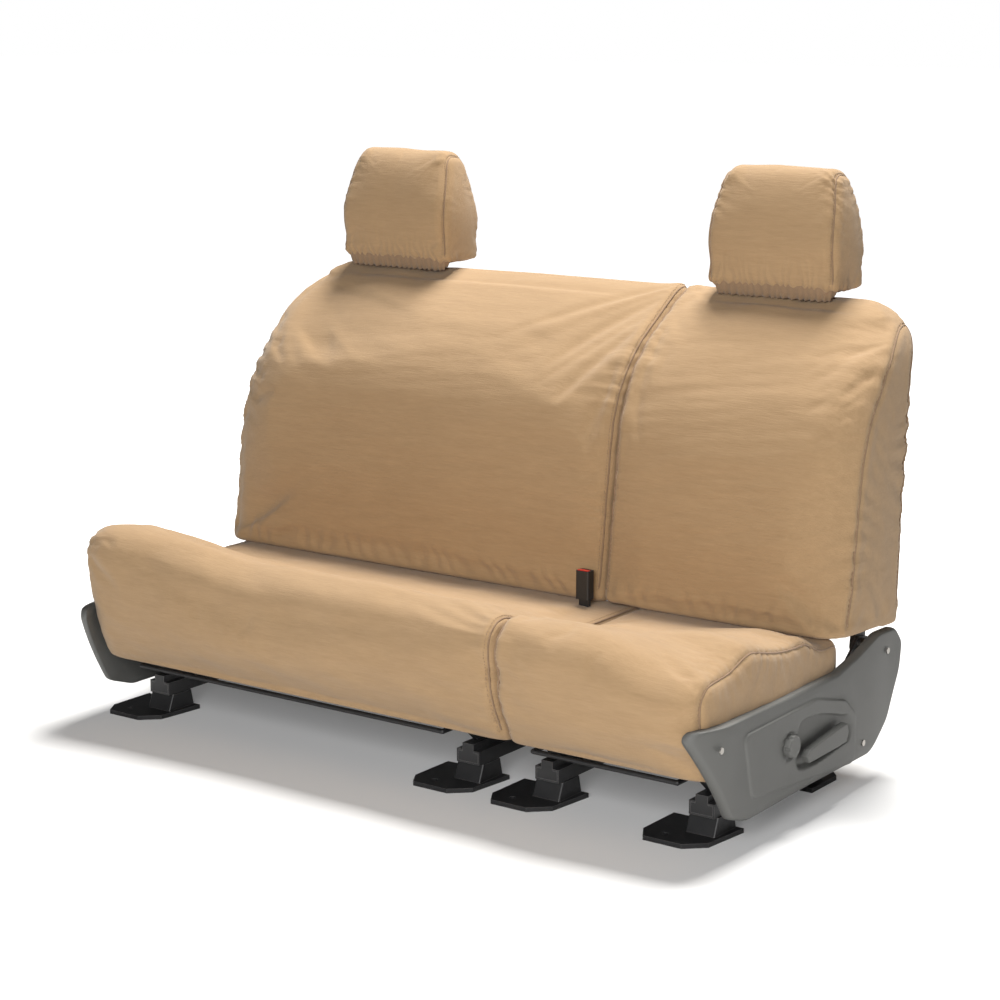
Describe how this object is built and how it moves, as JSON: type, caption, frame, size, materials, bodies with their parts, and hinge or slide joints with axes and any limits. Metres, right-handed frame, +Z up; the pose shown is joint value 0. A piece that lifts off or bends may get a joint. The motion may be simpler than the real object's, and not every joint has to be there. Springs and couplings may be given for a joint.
{
  "type": "covered split bench seat",
  "caption": "Split bench seat in fitted fabric covers, with sliding sections, reclining backrests, lifting headrests, side shields and a buckle.",
  "frame": {"origin": "on the floor under the middle of the bench, halfway between its foremost and rearmost points", "axes": "+X across the seat towards the side with the knob, +Y towards the backrests, +Z up"},
  "size_m": [1.406, 0.7739, 1.0462],
  "materials": {
    "foam": "matte",
    "cover_fabric": "matte",
    "rail_steel": "satin",
    "foot_black": "satin",
    "frame_paint": "satin",
    "wire_steel": "satin",
    "post_chrome": "polished",
    "black_plastic": "matte",
    "shield_plastic": "satin",
    "button_red": "gloss"
  },
  "bodies": {
    "floor_rails": {"lower_rail_60_outer": "rail_steel", "front_foot_60_outer": "foot_black", "rear_foot_60_outer": "foot_black", "lower_rail_60_inner": "rail_steel", "front_foot_60_inner": "foot_black", "rear_foot_60_inner": "foot_black", "lower_rail_40_inner": "rail_steel", "front_foot_40_inner": "foot_black", "rear_foot_40_inner": "foot_black", "lower_rail_40_outer": "rail_steel", "front_foot_40_outer": "foot_black", "rear_foot_40_outer": "foot_black"},
    "seat_60": {"upper_rail_60_outer": "rail_steel", "riser_60_outer": "foot_black", "upper_rail_60_inner": "rail_steel", "riser_60_inner": "foot_black", "cushion_pan_60": "frame_paint", "support_wires_60": "wire_steel", "cushion_foam_60": "foam", "cushion_cover_60": "cover_fabric", "recliner_brackets_60": "frame_paint", "recliner_pins_60": "wire_steel", "side_shield_60": "shield_plastic", "shield_screws_60": "wire_steel", "buckle_sleeve": "black_plastic", "buckle_housing": "black_plastic"},
    "seat_40": {"upper_rail_40_inner": "rail_steel", "riser_40_inner": "foot_black", "upper_rail_40_outer": "rail_steel", "riser_40_outer": "foot_black", "cushion_pan_40": "frame_paint", "support_wires_40": "wire_steel", "cushion_foam_40": "foam", "cushion_cover_40": "cover_fabric", "recliner_brackets_40": "frame_paint", "recliner_pins_40": "wire_steel", "side_shield_40": "shield_plastic", "shield_screws_40": "wire_steel"},
    "back_60": {"back_frame_60": "frame_paint", "headrest_guides_60": "black_plastic", "back_foam_60": "foam", "back_cover_60": "cover_fabric"},
    "back_40": {"back_frame_40": "frame_paint", "headrest_guides_40": "black_plastic", "back_foam_40": "foam", "back_cover_40": "cover_fabric"},
    "headrest_60": {"headrest_posts_60": "post_chrome", "headrest_foam_60": "foam", "headrest_cover_60": "cover_fabric"},
    "headrest_40": {"headrest_posts_40": "post_chrome", "headrest_foam_40": "foam", "headrest_cover_40": "cover_fabric"},
    "lever_60": {"recline_lever_60": "shield_plastic"},
    "lever_40": {"recline_lever_40": "shield_plastic"},
    "release_60": {"release_bar_60": "foot_black"},
    "release_40": {"release_bar_40": "foot_black"},
    "knob": {"lumbar_knob_40": "shield_plastic"},
    "button": {"buckle_button": "button_red"}
  },
  "joints": [
    {"name": "slide_60", "type": "slide", "parent": "floor_rails", "child": "seat_60", "axis": [0, -1, 0], "range_m": [-0.07, 0.07]},
    {"name": "recline_60", "type": "hinge", "parent": "seat_60", "child": "back_60", "pos_m": [0, 0.235, 0.228], "axis": [-1, 0, 0], "range_deg": [0, 15]},
    {"name": "headrest_lift_60", "type": "slide", "parent": "back_60", "child": "headrest_60", "axis": [0, 0, 1], "range_m": [0, 0.06]},
    {"name": "lever_lift_60", "type": "hinge", "parent": "seat_60", "child": "lever_60", "pos_m": [-0.695, 0.055, 0.122], "axis": [-1, 0, 0], "range_deg": [0, 18], "stiffness_Nm_per_rad": 0.8, "springref_deg": -20.05},
    {"name": "release_lift_60", "type": "hinge", "parent": "seat_60", "child": "release_60", "pos_m": [0, -0.19, 0.108], "axis": [-1, 0, 0], "range_deg": [0, 3.3], "stiffness_Nm_per_rad": 4, "springref_deg": -20.05},
    {"name": "slide_40", "type": "slide", "parent": "floor_rails", "child": "seat_40", "axis": [0, -1, 0], "range_m": [-0.07, 0.07]},
    {"name": "recline_40", "type": "hinge", "parent": "seat_40", "child": "back_40", "pos_m": [0, 0.235, 0.228], "axis": [-1, 0, 0], "range_deg": [0, 15]},
    {"name": "headrest_lift_40", "type": "slide", "parent": "back_40", "child": "headrest_40", "axis": [0, 0, 1], "range_m": [0, 0.06]},
    {"name": "lever_lift_40", "type": "hinge", "parent": "seat_40", "child": "lever_40", "pos_m": [0.695, 0.055, 0.122], "axis": [-1, 0, 0], "range_deg": [0, 18], "stiffness_Nm_per_rad": 0.8, "springref_deg": -20.05},
    {"name": "release_lift_40", "type": "hinge", "parent": "seat_40", "child": "release_40", "pos_m": [0, -0.19, 0.108], "axis": [-1, 0, 0], "range_deg": [0, 3.3], "stiffness_Nm_per_rad": 4, "springref_deg": -20.05},
    {"name": "knob_turn", "type": "hinge", "parent": "seat_40", "child": "knob", "pos_m": [0.695, -0.114, 0.143], "axis": [1, 0, 0], "range_deg": [-90, 90]},
    {"name": "button_press", "type": "slide", "parent": "seat_60", "child": "button", "axis": [0, 0, -1], "range_m": [0, 0.004], "stiffness_N_per_m": 400, "springref_m": -0.003}
  ]
}
